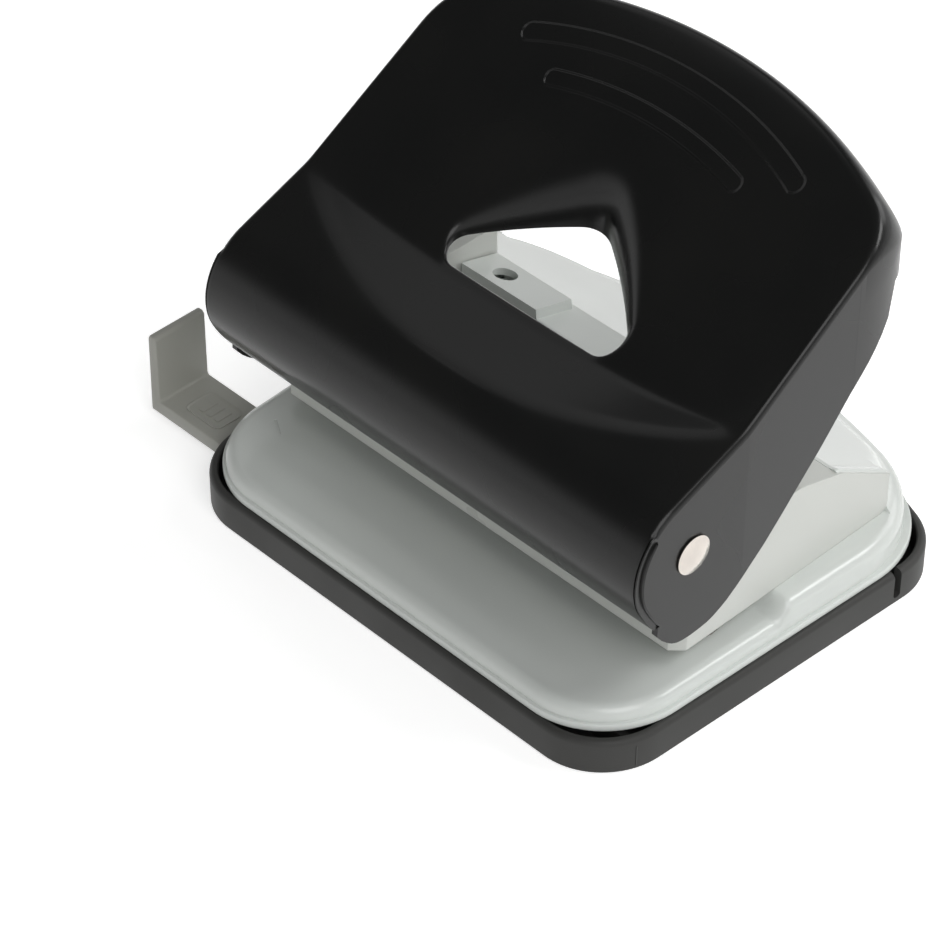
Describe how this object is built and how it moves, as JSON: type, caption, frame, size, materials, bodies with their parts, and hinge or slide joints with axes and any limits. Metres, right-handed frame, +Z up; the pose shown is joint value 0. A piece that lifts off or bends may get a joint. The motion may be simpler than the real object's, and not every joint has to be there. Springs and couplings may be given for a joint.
{
  "type": "two-hole desk paper punch",
  "caption": "Desk paper punch: a pressed-steel lever with a window drives two pins through dies in a plastic base, with a sliding paper guide and a chip tray that opens.",
  "frame": {"origin": "middle of the flat underside, on the desk", "axes": "+X to the right end, away from the paper guide; +Y to the back, where the lever's handle is; +Z up"},
  "size_m": [0.1235, 0.09, 0.0833],
  "materials": {
    "shell": "light grey moulded plastic, satin gloss",
    "frame": "light grey moulded plastic, satin gloss, slightly warmer than the shell",
    "tray": "dark grey soft plastic, smooth matte",
    "pads": "black rubber",
    "zinc": "zinc-plated steel screw",
    "steel": "plain steel sheet",
    "tool_steel": "ground tool steel",
    "bush": "turned brass",
    "spring_steel": "spring steel wire",
    "lever_paint": "black paint with a semi-gloss face on sheet steel",
    "rivet": "nickel-plated domed rivet",
    "washer": "white nylon",
    "guide": "grey plastic, smooth matte"
  },
  "bodies": {
    "base": {"base_shell": "shell", "punch_frame": "frame", "frame_screws": "zinc", "die_plate": "steel", "die_screws": "zinc", "die_left": "tool_steel", "die_right": "tool_steel", "guide_bush_left": "bush", "guide_bush_right": "bush", "hinge_rivet_left": "rivet", "hinge_rivet_right": "rivet", "hinge_washer_left": "washer", "hinge_washer_right": "washer"},
    "lever": {"lever": "lever_paint", "press_left": "steel", "press_right": "steel"},
    "pin_left": {"pin_left": "tool_steel", "spring_left": "spring_steel"},
    "pin_right": {"pin_right": "tool_steel", "spring_right": "spring_steel"},
    "tray": {"chip_tray": "tray", "anti_slip_pads": "pads"},
    "guide": {"paper_guide": "guide"}
  },
  "joints": [
    {"name": "lever_hinge", "type": "hinge", "parent": "base", "child": "lever", "pos_m": [0, -0.025, 0.039], "axis": [-1, 0, 0], "range_deg": [0, 32]},
    {"name": "pin_left_slide", "type": "slide", "parent": "base", "child": "pin_left", "axis": [0, 0, -1], "range_m": [0, 0.0066], "stiffness_N_per_m": 1256, "springref_m": -0.003, "deforming": ["spring_left"]},
    {"name": "pin_right_slide", "type": "slide", "parent": "base", "child": "pin_right", "axis": [0, 0, -1], "range_m": [0, 0.0066], "stiffness_N_per_m": 1256, "springref_m": -0.003, "deforming": ["spring_right"]},
    {"name": "tray_hinge", "type": "hinge", "parent": "base", "child": "tray", "pos_m": [0, -0.045, 0.007], "axis": [-1, 0, 0], "range_deg": [0, 60]},
    {"name": "guide_slide", "type": "slide", "parent": "tray", "child": "guide", "axis": [-1, 0, 0], "range_m": [-0.0145, 0.081]}
  ],
  "couplings": [
    {"joint": "pin_left_slide", "follows": "lever_hinge", "m_per_rad": 0.011809},
    {"joint": "pin_right_slide", "follows": "lever_hinge", "m_per_rad": 0.011809}
  ]
}
